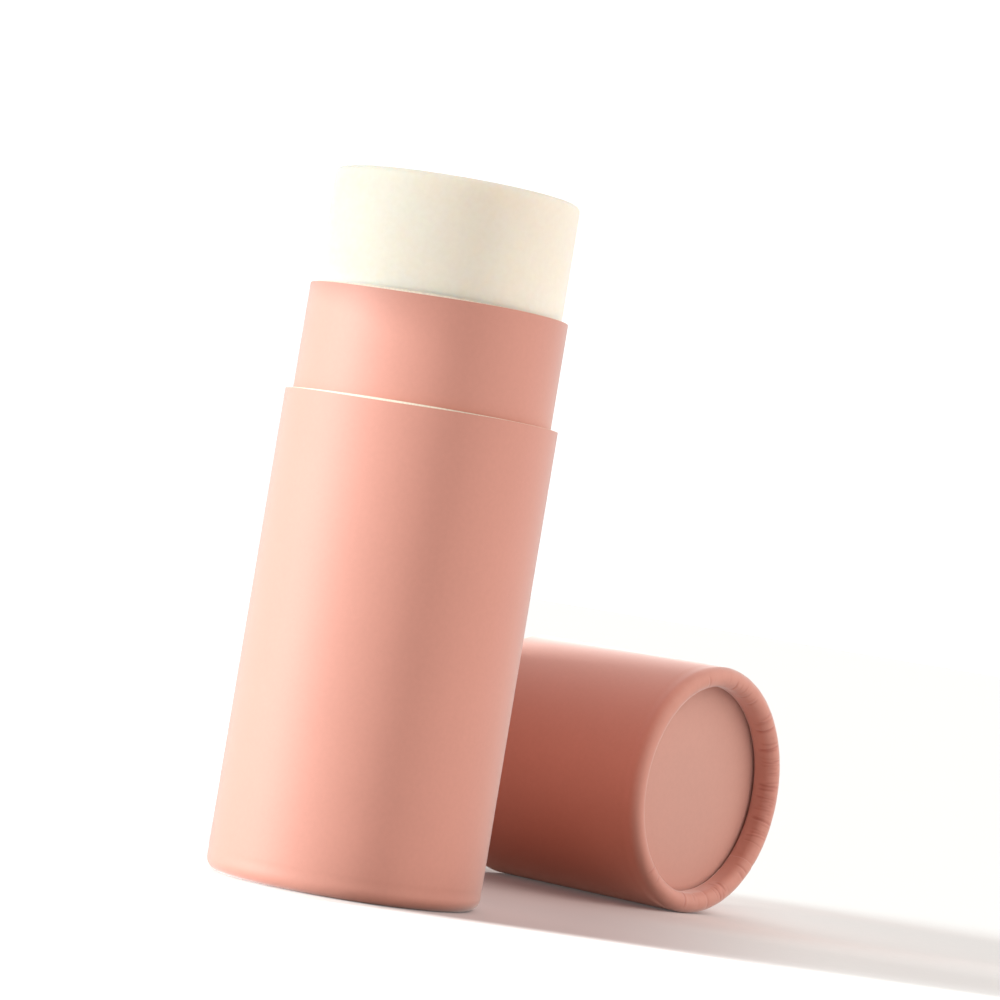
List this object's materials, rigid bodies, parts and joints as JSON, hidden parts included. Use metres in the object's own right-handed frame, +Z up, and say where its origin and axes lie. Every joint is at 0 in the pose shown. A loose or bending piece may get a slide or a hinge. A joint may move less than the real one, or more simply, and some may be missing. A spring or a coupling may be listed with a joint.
{
  "type": "push-up stick tube",
  "caption": "Cardboard push-up tube with its wax stick raised above the neck, and its cap lying on its side behind it.",
  "frame": {"origin": "middle of the footprint of the tube and the cap together, on the surface that they stand on", "axes": "+Z up along the tube's axis; +Y from the tube towards the cap behind it; +X along the cap's axis, out of its closed end"},
  "size_m": [0.0602, 0.136, 0.1137],
  "materials": {
    "pink_paper": "matte",
    "raw_board": "matte",
    "greaseproof_paper": "satin",
    "white_paper": "matte",
    "wax": "satin"
  },
  "bodies": {
    "tube": {"outer_sleeve": "raw_board", "sleeve_wrap": "pink_paper", "inner_tube": "raw_board", "neck_wrap": "pink_paper", "inner_liner": "greaseproof_paper"},
    "push_up": {"push_cover": "pink_paper", "push_disc": "raw_board", "piston_collar": "raw_board", "piston_top_disc": "raw_board", "seal_disc": "greaseproof_paper", "wax_stick": "wax"},
    "cap": {"cap_sleeve": "raw_board", "cap_wrap": "pink_paper", "cap_disc": "raw_board", "cap_disc_cover": "pink_paper", "cap_lining_disc": "white_paper", "cap_lining": "white_paper"}
  },
  "joints": [
    {"name": "push_up_slide", "type": "slide", "parent": "tube", "child": "push_up", "axis": [0, 0, 1], "range_m": [-0.0375, 0.0437]},
    {"name": "cap_lift", "type": "slide", "parent": "tube", "child": "cap", "axis": [0, 0, 1], "range_m": [0, 0.12]}
  ]
}
